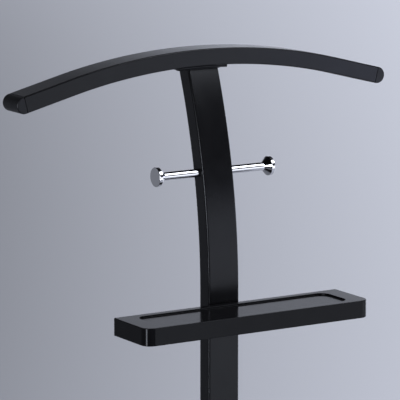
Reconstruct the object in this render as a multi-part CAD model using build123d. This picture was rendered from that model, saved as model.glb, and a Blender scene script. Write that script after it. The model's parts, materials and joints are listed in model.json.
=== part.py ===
from build123d import *
import math
import os

# Valet stand: an arched hanger bar, two pegs and a tray on a post, over a base with two arched runners.
# Millimetres, +Z up. X runs along the hanger bar and the front faces -Y.
# The origin is on the floor, under the straight part of the post.

# Post: a rectangular tube, straight up to the tray and bent backwards above it
post_width = 40.0
post_depth = 20.0
post_corner_radius = 2.2
post_wall = 1.5
post_bend_radius = 720.0
bend_above_tray = 9.0
post_top_above_tray = 259.5

# Hanger bar: a flat rectangular tube, bent to an arch with straight ends, and a rounded cap in each end
hanger_span = 484.0
hanger_tube_depth = 34.0
hanger_tube_height = 19.0
hanger_corner_radius = 1.5
hanger_wall = 1.5
hanger_bend_radius = 700.0
hanger_end_straight = 60.0
hanger_rear_overhang = 3.0
hanger_cap_lip = 2.0

# Saddle plate on the post, under the bar
saddle_length = 62.0
saddle_depth = 24.0
saddle_thickness = 4.0
saddle_screw_spacing = 51.0

# Plugs of the end caps, and the fine groove between a cap and its tube
cap_plug_length = 12.0
cap_plug_clearance = 0.25
cap_groove_width = 0.8
cap_groove_depth = 0.8

# Pegs: turned rods with a disc knob on a conical neck
peg_above_tray = 145.5
peg_reach = 56.0
peg_rod_diameter = 9.5
peg_knob_diameter = 22.0
peg_knob_rim = 4.0
peg_cone_angle = 45.0
peg_edge_radius = 0.6
peg_stud_diameter = 6.0
peg_stud_engagement = 16.0
peg_spacer_wall = 2.8

# Tray: a lacquered board with a shallow recess
tray_top_height = 800.0
tray_length = 294.0
tray_depth = 70.0
tray_thickness = 20.0
tray_corner_radius = 12.0
tray_back_corner_radius = 1.5
tray_edge_radius = 0.8
recess_depth = 1.9
recess_corner_radius = 12.0
recess_end_land = 22.0
recess_front_land = 9.5
recess_back_land = 9.5
recess_floor_radius = 0.8

# Steel angle that carries the tray
bracket_width = 36.0
bracket_thickness = 6.0
bracket_reach = 42.0
bracket_below_top = 4.0
bracket_corner_radius = 4.0
bracket_screw_spacing = 18.0
tray_screw_spacing = 20.0
tray_screw_row_spacing = 20.0
tray_insert_length = 9.0

# Base: foot plate of the post, crossbar and runners
foot_plate_length = 92.0
foot_plate_thickness = 4.0
foot_plate_corner_radius = 5.0
foot_plate_screw_spacing = 68.0
foot_plate_row_spacing = 22.0
crossbar_depth = 40.0
crossbar_height = 18.0
crossbar_corner_radius = 1.5
crossbar_wall = 1.5
crossbar_plug_length = 26.0
crossbar_plug_clearance = 0.15
crossbar_bolt_spacing = 20.0
base_width = 392.0
runner_length = 320.0
runner_tube_width = 32.0
runner_tube_height = 18.0
runner_corner_radius = 1.5
runner_wall = 1.5
runner_bend_radius = 680.0
runner_end_straight = 30.0
runner_cap_lip = 24.0
runner_spacer_wall = 2.0
runner_bolt_engagement = 18.0

# Levelling feet: a moulded pad on a threaded stud, in a brass insert in the runner's cap
foot_pad_diameter = 28.0
foot_pad_height = 8.0
foot_pad_edge_radius = 1.5
foot_boss_diameter = 18.0
foot_boss_relief = 0.6
foot_stud_diameter = 8.0
foot_stud_reach = 16.0
foot_stud_in_pad = 5.0
foot_stud_chamfer = 1.0
foot_insert_diameter = 11.0
foot_insert_length = 12.0

# Fasteners: small screws hold the bar and the tray, middle ones the bracket, large ones the base
small_screw_diameter = 4.0
small_head_diameter = 7.6
small_head_height = 2.2
small_socket_width = 2.5
middle_screw_diameter = 5.0
middle_head_diameter = 10.0
middle_socket_width = 3.0
large_screw_diameter = 6.0
large_head_diameter = 10.5
large_head_height = 3.3
large_socket_width = 4.0
socket_depth_share = 0.6
head_dome_share = 0.6
screw_engagement = 9.0
rivet_nut_wall = 1.2
rivet_nut_bulge = 1.2
rivet_nut_bulge_length = 3.0
rivet_nut_length = 11.0
insert_wall = 1.2
blind_bore_spare = 2.0

# Clearances
thread_clearance = 0.05
hole_clearance = 0.25
press_clearance = 0.02
spacer_clearance = 0.1
seat_clearance = 0.05
inner_radius_min = 0.4
trim_margin = 8.0
drill_margin = 2.0


def arch_slope(radius, straight, reach):
    """Slope of an arch's straight ends, in radians, when they end at the given reach from the middle."""
    return math.asin(reach / math.hypot(radius, straight)) - math.atan2(straight, radius)


# Heights and places that follow from the driving sizes
bend_start_height = tray_top_height + bend_above_tray
post_top_height = tray_top_height + post_top_above_tray
peg_height = tray_top_height + peg_above_tray
tray_bottom_height = tray_top_height - tray_thickness
post_front = -post_depth / 2
tray_back = post_front - bracket_thickness
tray_front = tray_back - tray_depth

bend_rise = post_top_height - bend_start_height
top_front = post_bend_radius - math.sqrt((post_bend_radius + post_depth / 2) ** 2 - bend_rise ** 2)
top_rear = post_bend_radius - math.sqrt((post_bend_radius - post_depth / 2) ** 2 - bend_rise ** 2)
saddle_y = (top_front + top_rear) / 2
hanger_y = top_rear + hanger_rear_overhang - hanger_tube_depth / 2
hanger_under_radius = hanger_bend_radius - hanger_tube_height / 2
saddle_under_radius = hanger_under_radius - saddle_thickness
hanger_centre_height = post_top_height - saddle_under_radius
hanger_slope = arch_slope(
    hanger_bend_radius, hanger_end_straight + hanger_cap_lip, (hanger_span - hanger_tube_height) / 2
)
hanger_end_angle = math.degrees(hanger_slope)
peg_y = post_bend_radius - math.sqrt(post_bend_radius ** 2 - (peg_height - bend_start_height) ** 2)

runner_slope = arch_slope(
    runner_bend_radius, runner_end_straight + runner_cap_lip, (runner_length - runner_tube_height) / 2
)
runner_end_angle = math.degrees(runner_slope)
foot_along_end = runner_end_straight + runner_cap_lip / 2
boss_drop = foot_boss_diameter / 2 * math.tan(runner_slope) + foot_boss_relief
foot_axis_height = foot_pad_height + boss_drop + runner_tube_height / 2 / math.cos(runner_slope)
runner_centre_height = (
    foot_axis_height
    + foot_along_end * math.sin(runner_slope)
    - runner_bend_radius * math.cos(runner_slope)
)
foot_y = runner_bend_radius * math.sin(runner_slope) + foot_along_end * math.cos(runner_slope)
runner_x = (base_width - runner_tube_width) / 2
crossbar_length = base_width - 2 * runner_tube_width
crossbar_centre_height = runner_centre_height + runner_bend_radius
crossbar_top_height = crossbar_centre_height + crossbar_height / 2
post_bottom_height = crossbar_top_height + foot_plate_thickness

# Directions in which a fastener that is drawn along +Z can be turned
UP = Rot(0, 0, 0)
DOWN = Rot(180, 0, 0)
FORWARD = Rot(90, 0, 0)
RIGHT = Rot(0, 90, 0)
LEFT = Rot(0, -90, 0)


def cylinder_between(radius, low, high):
    """Cylinder on the Z axis from one height to another."""
    return Pos(0, 0, low) * Cylinder(radius, high - low, align=(Align.CENTER, Align.CENTER, Align.MIN))


def box_between(low, high):
    """Box between two corners."""
    sizes = [top - bottom for bottom, top in zip(low, high)]
    return Pos(*low) * Box(*sizes, align=(Align.MIN, Align.MIN, Align.MIN))


def tube_section(width, height, corner_radius, wall):
    """Cross-section of a rectangular tube."""
    inner_radius = max(corner_radius - wall, inner_radius_min)
    inner = RectangleRounded(width - 2 * wall, height - 2 * wall, inner_radius)
    return RectangleRounded(width, height, corner_radius) - inner


def arched_tube(width, height, corner_radius, wall, bend_radius, end_angle, straight):
    """Tube bent to an arch in the XZ plane, with straight ends and the arc's centre at the origin."""
    middle = Plane(origin=(0, 0, bend_radius), x_dir=(0, 1, 0), z_dir=(1, 0, 0))
    section = middle * tube_section(width, height, corner_radius, wall)
    bend = revolve(section.rotate(Axis.Y, -end_angle), axis=Axis.Y, revolution_arc=2 * end_angle)
    end = Rot(0, end_angle, 0) * extrude(section, amount=straight)
    return bend + end + Rot(0, 0, 180) * end


def end_cap(width, height, corner_radius, wall, lip):
    """Cap of a tube that ends at X = 0: a plug, a fine groove, a lip and a round end towards +X."""
    outline = Pos(lip / 2, 0) * Rectangle(lip, height) + Pos(lip, 0) * Circle(height / 2)
    body = extrude(Plane.XZ * outline, amount=width / 2, both=True)
    reach = lip + height / 2
    body &= box_between((cap_groove_width, -width / 2, -height / 2), (reach, width / 2, height / 2))
    rim = [
        edge
        for edge in body.edges()
        if abs(abs(edge.center().Y) - width / 2) < seat_clearance
        and edge.center().X > cap_groove_width + seat_clearance
    ]
    body = fillet(rim, corner_radius)
    neck = Pos(cap_groove_width / 2, 0, 0) * Box(
        cap_groove_width, width - 2 * cap_groove_depth, height - 2 * cap_groove_depth
    )
    inset = 2 * (wall + cap_plug_clearance)
    plug = Pos(-cap_plug_length / 2, 0, 0) * Box(cap_plug_length, width - inset, height - inset)
    plug = chamfer(plug.faces().sort_by(Axis.X)[0].edges(), inner_radius_min)
    return body + neck + plug


def hex_socket(width, depth):
    """Hexagon socket that opens upwards at Z = 0."""
    return extrude(RegularPolygon(width / 2, 6, major_radius=False), amount=-depth)


def button_screw(diameter, head_diameter, head_height, socket_width, length):
    """Screw on the Z axis whose domed head sits on Z = 0 and whose shank points down."""
    head = cylinder_between(head_diameter / 2, 0, head_height)
    head = fillet(head.edges().sort_by(Axis.Z)[-1], head_dome_share * head_height)
    shank = cylinder_between(diameter / 2, -length, 0)
    return head + shank - Pos(0, 0, head_height) * hex_socket(socket_width, socket_depth_share * head_height)


def countersunk_head(diameter, head_diameter):
    """Cone of a countersunk head, with its top at Z = 0."""
    height = (head_diameter - diameter) / 2
    return Cone(diameter / 2, head_diameter / 2, height, align=(Align.CENTER, Align.CENTER, Align.MAX))


def countersunk_screw(diameter, head_diameter, socket_width, length):
    """Countersunk screw on the Z axis with its top at Z = 0."""
    head_height = (head_diameter - diameter) / 2
    shank = cylinder_between(diameter / 2, -length, -head_height)
    return countersunk_head(diameter, head_diameter) + shank - hex_socket(
        socket_width, socket_depth_share * head_height
    )


def rivet_nut(diameter, wall):
    """Rivet nut in a wall whose outer face is at Z = 0, with its bulge behind the wall."""
    radius = diameter / 2 + rivet_nut_wall
    bulge_top = -wall - press_clearance
    body = cylinder_between(radius, -rivet_nut_length, 0)
    body += cylinder_between(radius + rivet_nut_bulge, bulge_top - rivet_nut_bulge_length, bulge_top)
    return body - cylinder_between(diameter / 2 + thread_clearance, -rivet_nut_length, 0)


def rivet_hole(diameter, wall):
    """Hole for a rivet nut in a wall whose outer face is at Z = 0."""
    radius = diameter / 2 + rivet_nut_wall + press_clearance
    return cylinder_between(radius, -wall - drill_margin, drill_margin)


def screw_hole(diameter, thickness):
    """Clearance hole through a plate whose upper face is at Z = 0."""
    return cylinder_between(diameter / 2 + hole_clearance, -thickness - drill_margin, drill_margin)


def sleeve(inner_diameter, wall, length):
    """Spacer tube centred on the Z axis."""
    inner_radius = inner_diameter / 2 + hole_clearance
    return Cylinder(inner_radius + wall, length) - Cylinder(inner_radius, length)


def at_each(places, shape):
    """One copy of a shape at each place."""
    return [place * shape for place in places]


def cut_each(body, places, shape):
    """A body with a shape cut out of it at each place."""
    for place in places:
        body -= place * shape
    return body


def grid(x_spacing, y_spacing, z, turn=UP):
    """Four places on a rectangle round the Z axis."""
    columns = (-x_spacing / 2, x_spacing / 2)
    rows = (-y_spacing / 2, y_spacing / 2)
    return [Pos(x, y, z) * turn for x in columns for y in rows]


# Places of the fasteners
hanger_arc = Pos(0, hanger_y, hanger_centre_height)
hanger_screw_angle = math.degrees(math.asin(saddle_screw_spacing / 2 / hanger_under_radius))
saddle_shift = Pos(0, saddle_y - hanger_y, 0)
hanger_nut_places = [
    hanger_arc * saddle_shift * Rot(0, angle, 0) * Pos(0, 0, hanger_under_radius) * DOWN
    for angle in (-hanger_screw_angle, hanger_screw_angle)
]
hanger_screw_places = [place * Pos(0, 0, saddle_thickness + seat_clearance) for place in hanger_nut_places]
bracket_screw_height = (tray_bottom_height + tray_top_height - bracket_below_top) / 2
bracket_screw_places = [
    Pos(x, tray_back, bracket_screw_height) * FORWARD
    for x in (-bracket_screw_spacing / 2, bracket_screw_spacing / 2)
]
bracket_nut_places = [place * Pos(0, 0, -bracket_thickness) for place in bracket_screw_places]
tray_screw_middle = tray_back - bracket_reach / 2
tray_insert_places = [
    Pos(0, tray_screw_middle, 0) * place
    for place in grid(tray_screw_spacing, tray_screw_row_spacing, tray_bottom_height, DOWN)
]
tray_screw_places = [place * Pos(0, 0, bracket_thickness) for place in tray_insert_places]
foot_nut_places = grid(foot_plate_screw_spacing, foot_plate_row_spacing, crossbar_top_height)
foot_screw_places = [place * Pos(0, 0, foot_plate_thickness) for place in foot_nut_places]
runner_bolt_places = [
    Pos(side * (runner_x + runner_tube_width / 2), y, crossbar_centre_height) * turn
    for side, turn in ((-1, LEFT), (1, RIGHT))
    for y in (-crossbar_bolt_spacing / 2, crossbar_bolt_spacing / 2)
]
runner_spacer_places = [place * Pos(0, 0, -runner_tube_width / 2) for place in runner_bolt_places]
peg_axis = Pos(0, peg_y, peg_height)
corner_names = {
    "front_left": (-1, -1),
    "front_right": (1, -1),
    "rear_left": (-1, 1),
    "rear_right": (1, 1),
}


def make_post():
    """Post tube, cut at the top to the saddle plate and drilled for the pegs and the bracket."""
    section = tube_section(post_width, post_depth, post_corner_radius, post_wall)
    section = Pos(0, 0, bend_start_height) * section
    straight = extrude(section, amount=bend_start_height - post_bottom_height, dir=(0, 0, -1))
    bend_axis = Axis((0, post_bend_radius, bend_start_height), (-1, 0, 0))
    bend_angle = math.asin((bend_rise + trim_margin) / (post_bend_radius - post_depth / 2))
    bent = revolve(section, axis=bend_axis, revolution_arc=math.degrees(bend_angle))
    saddle_round = hanger_arc * Rot(90, 0, 0) * Cylinder(saddle_under_radius, 2 * post_bend_radius)
    post = straight + (bent & saddle_round)
    peg_hole = Rot(0, 90, 0) * Cylinder(peg_stud_diameter / 2 + hole_clearance, 2 * post_width)
    post -= peg_axis * peg_hole
    return cut_each(post, bracket_nut_places, rivet_hole(middle_screw_diameter, post_wall))


def make_hanger_bar():
    """Hanger tube with holes in its lower wall for the rivet nuts."""
    bar = hanger_arc * arched_tube(
        hanger_tube_depth,
        hanger_tube_height,
        hanger_corner_radius,
        hanger_wall,
        hanger_bend_radius,
        hanger_end_angle,
        hanger_end_straight,
    )
    return cut_each(bar, hanger_nut_places, rivet_hole(small_screw_diameter, hanger_wall))


def make_hanger_caps():
    """Left and right end caps of the hanger bar."""
    cap = end_cap(hanger_tube_depth, hanger_tube_height, hanger_corner_radius, hanger_wall, hanger_cap_lip)
    right = Rot(0, hanger_end_angle, 0) * Pos(hanger_end_straight, 0, hanger_bend_radius) * cap
    return {"hanger_cap_left": hanger_arc * Rot(0, 0, 180) * right, "hanger_cap_right": hanger_arc * right}


def make_hanger_plate():
    """Steel saddle, bent to the bar, that is welded on top of the post."""
    ring = Cylinder(hanger_under_radius, saddle_depth) - Cylinder(saddle_under_radius, saddle_depth)
    window = Pos(0, 0, hanger_under_radius) * Box(saddle_length, saddle_depth, hanger_under_radius)
    plate = hanger_arc * saddle_shift * (Rot(90, 0, 0) * ring & window)
    return cut_each(plate, hanger_screw_places, screw_hole(small_screw_diameter, saddle_thickness))


def make_peg():
    """Right peg on the X axis: rod, conical neck and disc knob, with a threaded bore in its foot."""
    rod_radius = peg_rod_diameter / 2
    knob_radius = peg_knob_diameter / 2
    face = post_width / 2 + peg_reach
    neck_length = (knob_radius - rod_radius) / math.tan(math.radians(peg_cone_angle))
    outline = Polyline(
        (post_width / 2, 0),
        (post_width / 2, rod_radius),
        (face - peg_knob_rim - neck_length, rod_radius),
        (face - peg_knob_rim, knob_radius),
        (face, knob_radius),
        (face, 0),
        close=True,
    )
    peg = revolve(Plane.XZ * make_face(outline), axis=Axis.X)
    circles = peg.edges().filter_by(GeomType.CIRCLE)
    peg = fillet([edge for edge in circles if edge.radius > rod_radius + seat_clearance], peg_edge_radius)
    depth = peg_stud_engagement + blind_bore_spare
    bore = cylinder_between(peg_stud_diameter / 2 + thread_clearance, 0, depth)
    return peg - Pos(post_width / 2, 0, 0) * RIGHT * bore


def make_tray():
    """Board with rounded front corners, softened edges and a shallow recess."""
    board = box_between(
        (-tray_length / 2, tray_front, tray_bottom_height), (tray_length / 2, tray_back, tray_top_height)
    )
    uprights = board.edges().filter_by(Axis.Z).sort_by(Axis.Y)
    board = fillet(uprights[:2], tray_corner_radius)
    uprights = board.edges().filter_by(Axis.Z).sort_by(Axis.Y)
    board = fillet(uprights[-2:], tray_back_corner_radius)
    rims = board.faces().sort_by(Axis.Z)
    board = fillet(rims[0].edges() + rims[-1].edges(), tray_edge_radius)
    recess_width = tray_depth - recess_front_land - recess_back_land
    recess_middle = (tray_front + recess_front_land + tray_back - recess_back_land) / 2
    opening = RectangleRounded(tray_length - 2 * recess_end_land, recess_width, recess_corner_radius)
    recess = Pos(0, recess_middle, tray_top_height - recess_depth) * extrude(opening, amount=2 * recess_depth)
    recess = fillet(recess.faces().sort_by(Axis.Z)[0].edges(), recess_floor_radius)
    board -= recess
    pocket_radius = small_screw_diameter / 2 + insert_wall + press_clearance
    pocket = cylinder_between(pocket_radius, -tray_insert_length, drill_margin)
    screw_room = -screw_engagement - blind_bore_spare
    pocket += cylinder_between(small_screw_diameter / 2 + hole_clearance, screw_room, 0)
    return cut_each(board, tray_insert_places, pocket)


def make_bracket():
    """Angle with one leg on the post, behind the tray, and one leg under the tray."""
    half = bracket_width / 2
    under = tray_bottom_height - bracket_thickness
    upright = box_between((-half, tray_back, under), (half, post_front, tray_top_height - bracket_below_top))
    shelf = box_between((-half, tray_back - bracket_reach, under), (half, post_front, tray_bottom_height))
    front_corners = shelf.edges().filter_by(Axis.Z).sort_by(Axis.Y)[:2]
    bracket = upright + fillet(front_corners, bracket_corner_radius)
    for place in bracket_screw_places:
        bracket -= place * screw_hole(middle_screw_diameter, bracket_thickness)
        bracket -= place * countersunk_head(
            middle_screw_diameter + 2 * hole_clearance, middle_head_diameter + 2 * hole_clearance
        )
    return cut_each(bracket, tray_screw_places, screw_hole(small_screw_diameter, bracket_thickness))


def make_foot_plate():
    """Plate under the post, on top of the crossbar."""
    sheet = RectangleRounded(foot_plate_length, crossbar_depth, foot_plate_corner_radius)
    plate = Pos(0, 0, crossbar_top_height) * extrude(sheet, amount=foot_plate_thickness)
    return cut_each(plate, foot_screw_places, screw_hole(large_screw_diameter, foot_plate_thickness))


def make_crossbar():
    """Tube between the runners, with holes in its upper wall for the rivet nuts."""
    section = Plane.YZ * tube_section(crossbar_depth, crossbar_height, crossbar_corner_radius, crossbar_wall)
    bar = Pos(0, 0, crossbar_centre_height) * extrude(section, amount=crossbar_length / 2, both=True)
    return cut_each(bar, foot_nut_places, rivet_hole(large_screw_diameter, crossbar_wall))


def make_crossbar_plugs():
    """Threaded blocks that are welded in the crossbar's ends."""
    inset = 2 * (crossbar_wall + crossbar_plug_clearance)
    block = Box(crossbar_plug_length, crossbar_depth - inset, crossbar_height - inset)
    thread = Rot(0, 90, 0) * Cylinder(large_screw_diameter / 2 + thread_clearance, crossbar_plug_length)
    threads = [Pos(0, y, 0) for y in (-crossbar_bolt_spacing / 2, crossbar_bolt_spacing / 2)]
    block = cut_each(block, threads, thread)
    shift = (crossbar_length - crossbar_plug_length) / 2
    return {
        "crossbar_plug_left": Pos(-shift, 0, crossbar_centre_height) * block,
        "crossbar_plug_right": Pos(shift, 0, crossbar_centre_height) * block,
    }


def make_runner(side):
    """Arched runner on one side, drilled for the bolts of the crossbar."""
    tube = arched_tube(
        runner_tube_width,
        runner_tube_height,
        runner_corner_radius,
        runner_wall,
        runner_bend_radius,
        runner_end_angle,
        runner_end_straight,
    )
    runner = Pos(side * runner_x, 0, runner_centre_height) * Rot(0, 0, 90) * tube
    return cut_each(runner, runner_bolt_places, screw_hole(large_screw_diameter, runner_tube_width))


def make_runner_cap(side, end):
    """Cap of a runner, with an upright boss for the levelling foot."""
    cap = end_cap(runner_tube_width, runner_tube_height, runner_corner_radius, runner_wall, runner_cap_lip)
    turn = Rot(0, 0, end * 90)
    tilt = Rot(0, runner_end_angle, 0) * Pos(runner_end_straight, 0, runner_bend_radius)
    cap = Pos(side * runner_x, 0, runner_centre_height) * turn * tilt * cap
    foot = Pos(side * runner_x, end * foot_y, foot_pad_height)
    cap += foot * cylinder_between(foot_boss_diameter / 2, 0, foot_axis_height - foot_pad_height)
    cap -= foot * cylinder_between(foot_insert_diameter / 2 + press_clearance, -boss_drop, foot_insert_length)
    bore_depth = foot_stud_reach + blind_bore_spare
    return cap - foot * cylinder_between(foot_stud_diameter / 2 + hole_clearance, 0, bore_depth)


def make_foot_pad():
    """Moulded pad that stands on Z = 0, with a socket for the stud."""
    pad = cylinder_between(foot_pad_diameter / 2, 0, foot_pad_height)
    pad = fillet(pad.edges().filter_by(GeomType.CIRCLE), foot_pad_edge_radius)
    socket_low = foot_pad_height - foot_stud_in_pad
    return pad - cylinder_between(foot_stud_diameter / 2 + press_clearance, socket_low, foot_pad_height)


def make_foot_stud():
    """Threaded stud that is moulded in the pad."""
    low = foot_pad_height - foot_stud_in_pad
    stud = cylinder_between(foot_stud_diameter / 2, low, foot_pad_height + foot_stud_reach)
    return chamfer(stud.edges().sort_by(Axis.Z)[-1], foot_stud_chamfer)


def make_foot_insert():
    """Brass insert in a cap's boss."""
    outer = cylinder_between(foot_insert_diameter / 2, 0, foot_insert_length)
    return outer - cylinder_between(foot_stud_diameter / 2 + thread_clearance, 0, foot_insert_length)


def small_screw(grip):
    """Small button screw with a given grip in front of its thread."""
    head = (small_head_diameter, small_head_height, small_socket_width)
    return button_screw(small_screw_diameter, *head, grip + screw_engagement)


def large_screw(grip, engagement):
    """Large button screw with a given grip in front of its thread."""
    head = (large_head_diameter, large_head_height, large_socket_width)
    return button_screw(large_screw_diameter, *head, grip + engagement)


nodes = {"post": make_post(), "hanger_bar": make_hanger_bar(), "hanger_plate": make_hanger_plate()}
nodes.update(make_hanger_caps())
nodes["hanger_screws"] = at_each(hanger_screw_places, small_screw(saddle_thickness))
nodes["hanger_rivet_nuts"] = at_each(hanger_nut_places, rivet_nut(small_screw_diameter, hanger_wall))

peg = make_peg()
nodes["peg_right"] = peg_axis * peg
nodes["peg_left"] = peg_axis * Rot(0, 0, 180) * peg
stud_length = post_width + 2 * peg_stud_engagement
nodes["peg_stud"] = peg_axis * Rot(0, 90, 0) * Cylinder(peg_stud_diameter / 2, stud_length)
peg_spacer_length = post_width - 2 * (post_wall + spacer_clearance)
nodes["peg_spacer"] = peg_axis * Rot(0, 90, 0) * sleeve(peg_stud_diameter, peg_spacer_wall, peg_spacer_length)

nodes["tray"] = make_tray()
nodes["tray_bracket"] = make_bracket()
bracket_screw_length = bracket_thickness + screw_engagement
nodes["bracket_screws"] = at_each(
    bracket_screw_places,
    countersunk_screw(middle_screw_diameter, middle_head_diameter, middle_socket_width, bracket_screw_length),
)
nodes["bracket_rivet_nuts"] = at_each(bracket_nut_places, rivet_nut(middle_screw_diameter, post_wall))
nodes["tray_screws"] = at_each(tray_screw_places, small_screw(bracket_thickness))
tray_insert = cylinder_between(small_screw_diameter / 2 + insert_wall, -tray_insert_length, 0)
tray_insert -= cylinder_between(small_screw_diameter / 2 + thread_clearance, -tray_insert_length, 0)
nodes["tray_inserts"] = at_each(tray_insert_places, tray_insert)

nodes["post_foot_plate"] = make_foot_plate()
nodes["foot_plate_screws"] = at_each(foot_screw_places, large_screw(foot_plate_thickness, screw_engagement))
nodes["foot_plate_rivet_nuts"] = at_each(foot_nut_places, rivet_nut(large_screw_diameter, crossbar_wall))
nodes["crossbar"] = make_crossbar()
nodes.update(make_crossbar_plugs())
nodes["runner_left"] = make_runner(-1)
nodes["runner_right"] = make_runner(1)
nodes["runner_bolts"] = at_each(runner_bolt_places, large_screw(runner_tube_width, runner_bolt_engagement))
runner_spacer_length = runner_tube_width - 2 * (runner_wall + spacer_clearance)
runner_spacer = sleeve(large_screw_diameter, runner_spacer_wall, runner_spacer_length)
nodes["runner_spacers"] = at_each(runner_spacer_places, runner_spacer)

foot_places = {
    corner: Pos(side * runner_x, end * foot_y, 0) for corner, (side, end) in corner_names.items()
}
for corner, (side, end) in corner_names.items():
    nodes[f"runner_cap_{corner}"] = make_runner_cap(side, end)
    nodes[f"foot_pad_{corner}"] = foot_places[corner] * make_foot_pad()
    nodes[f"foot_stud_{corner}"] = foot_places[corner] * make_foot_stud()
foot_insert = Pos(0, 0, foot_pad_height) * make_foot_insert()
nodes["foot_inserts"] = at_each(foot_places.values(), foot_insert)

os.makedirs("parts", exist_ok=True)
for name, shape in nodes.items():
    solids = shape if isinstance(shape, list) else [shape]
    export_step(Compound([solid for piece in solids for solid in piece.solids()]), f"parts/{name}.step")
stand_height = post_top_height + saddle_thickness + hanger_tube_height
print(f"{len(nodes)} nodes, {stand_height:.1f} mm tall, feet at Y {foot_y:.2f}")
print(f"Pegs at Y {peg_y:.2f}, hanger bar at Y {hanger_y:.2f}, tray back at Y {tray_back:.2f}")
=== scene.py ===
# %% [markdown]
# # A valet stand
# The real stand is a bent steel tube on an H-shaped base, with an arched hanger bar, two chrome pegs and
# a tray. Its CAD model fixes every size and joint, so the first step loads that model as a frame.
# Everything made later is in metres in the same frame, with +Z up and the front towards -Y.

# %% Load the frame
import json
import math

import bmesh
import bpy
from mathutils import Matrix, Vector


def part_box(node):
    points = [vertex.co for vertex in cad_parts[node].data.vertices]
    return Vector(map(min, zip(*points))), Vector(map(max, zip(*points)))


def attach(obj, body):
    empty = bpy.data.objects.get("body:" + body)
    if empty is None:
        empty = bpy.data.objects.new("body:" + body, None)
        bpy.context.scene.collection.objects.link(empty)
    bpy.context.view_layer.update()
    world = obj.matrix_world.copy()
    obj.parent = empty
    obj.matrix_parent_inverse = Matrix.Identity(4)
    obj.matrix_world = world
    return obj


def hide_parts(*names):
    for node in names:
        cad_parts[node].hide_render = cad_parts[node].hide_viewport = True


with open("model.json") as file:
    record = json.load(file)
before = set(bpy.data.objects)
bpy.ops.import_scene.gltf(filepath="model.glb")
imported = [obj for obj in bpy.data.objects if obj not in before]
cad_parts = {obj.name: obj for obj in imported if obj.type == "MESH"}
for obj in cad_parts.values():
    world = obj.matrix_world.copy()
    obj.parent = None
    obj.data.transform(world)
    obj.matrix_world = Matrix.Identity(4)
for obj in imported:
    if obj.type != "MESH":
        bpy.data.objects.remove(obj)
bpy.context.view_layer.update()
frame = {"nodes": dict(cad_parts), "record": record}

# %% [markdown]
# ## Tools for node trees
# Geometry and materials are both made with nodes here. Writing node trees by hand takes many lines, so
# one helper adds a node and fills its inputs: a socket is linked, and anything else is set as a value.

# %% Node helpers
def add(tree, kind, inputs=None, **options):
    """Add a node to a tree, with its options set and its inputs linked or set."""
    made = tree.nodes.new(kind)
    for option, value in options.items():
        setattr(made, option, value)
    for key, value in (inputs or {}).items():
        if isinstance(value, bpy.types.NodeSocket):
            tree.links.new(value, made.inputs[key])
        else:
            made.inputs[key].default_value = value
    return made


def maths(tree, operation, *values):
    """One step of arithmetic in a node tree."""
    return add(tree, "ShaderNodeMath", dict(enumerate(values)), operation=operation).outputs[0]


def remap(tree, value, low, high, to_low=0.0, to_high=1.0):
    """Map a value from one range to another, held at both ends."""
    ends = {"Value": value, "From Min": low, "From Max": high, "To Min": to_low, "To Max": to_high}
    return add(tree, "ShaderNodeMapRange", ends).outputs["Result"]


# %% [markdown]
# ## Finishes
# A finish on a real stand is never one flat colour: a coat flows out unevenly, and its gloss varies a
# little. An image could show that, but noise on Object coordinates stays sharp at any distance and sticks
# to the piece. So each finish below is a Principled shader. What is the same all over is set on its
# sockets, and noise gives the rest.

# %% Finish helpers
NOISE_LOW = 0.3
NOISE_HIGH = 0.7


def finish(name, **sockets):
    """New material: the tree and its Principled shader, with the uniform values already set."""
    material = bpy.data.materials.new(name)
    material.use_nodes = True
    tree = material.node_tree
    shader = tree.nodes["Principled BSDF"]
    for label, value in sockets.items():
        shader.inputs[label.replace("_", " ")].default_value = value
    return material, tree, shader


def object_noise(tree, scale, detail=2.0, place=None):
    """Noise on Object coordinates, with its scale in features per metre."""
    place = place or add(tree, "ShaderNodeTexCoord").outputs["Object"]
    noise = add(tree, "ShaderNodeTexNoise", {"Vector": place, "Scale": scale, "Detail": detail})
    return noise.outputs["Fac"]


def ramp(tree, factor, stops):
    """Colour ramp through a list of (place, colour) stops."""
    made = add(tree, "ShaderNodeValToRGB", {"Fac": factor})
    line = made.color_ramp
    line.elements.remove(line.elements[1])
    line.elements[0].position = stops[0][0]
    line.elements[0].color = (*stops[0][1], 1.0)
    for place, colour in stops[1:]:
        line.elements.new(place).color = (*colour, 1.0)
    return made.outputs["Color"]


def vary_colour(tree, shader, noise, dark, light):
    """Let the base colour move between two close tones."""
    tone = ramp(tree, noise, [(NOISE_LOW, dark), (NOISE_HIGH, light)])
    tree.links.new(tone, shader.inputs["Base Color"])


def vary_gloss(tree, shader, noise, low, high):
    """Let the roughness move between two values."""
    tree.links.new(remap(tree, noise, NOISE_LOW, NOISE_HIGH, low, high), shader.inputs["Roughness"])


def emboss(tree, shader, height, depth):
    """Bump from a height of 0 to 1, with its real depth in metres."""
    bump = add(tree, "ShaderNodeBump", {"Height": height, "Distance": depth, "Strength": 1.0})
    tree.links.new(bump.outputs["Normal"], shader.inputs["Normal"])


# %% [markdown]
# ## Black finishes
# Three blacks meet on the stand. The tubes have a satin powder coat with a fine orange peel. The caps and
# pads have the dull grain of a spark-eroded mould. The tray has a smooth sprayed lacquer with long soft
# waves. They hardly differ in colour, so gloss and grain have to tell them apart.

# %% Powder coat, plastics and lacquer
COOL_GLOSS = (0.91, 0.94, 1.0, 1.0)
PLASTIC_LIGHTER = 1.35
PLASTIC_GLOSS_RANGE = 0.04


def powder_coat():
    """Satin black coat with orange peel and small changes of gloss."""
    material, tree, shader = finish("satin_powder_coat", IOR=1.305, Specular_Tint=COOL_GLOSS)
    patches = object_noise(tree, scale=40.0)
    vary_colour(tree, shader, patches, dark=(0.0042, 0.0042, 0.0048), light=(0.0062, 0.0062, 0.0068))
    vary_gloss(tree, shader, object_noise(tree, scale=55.0, detail=4.0), low=0.215, high=0.245)
    emboss(tree, shader, object_noise(tree, scale=900.0, detail=1.0), depth=0.000004)
    return material


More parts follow.
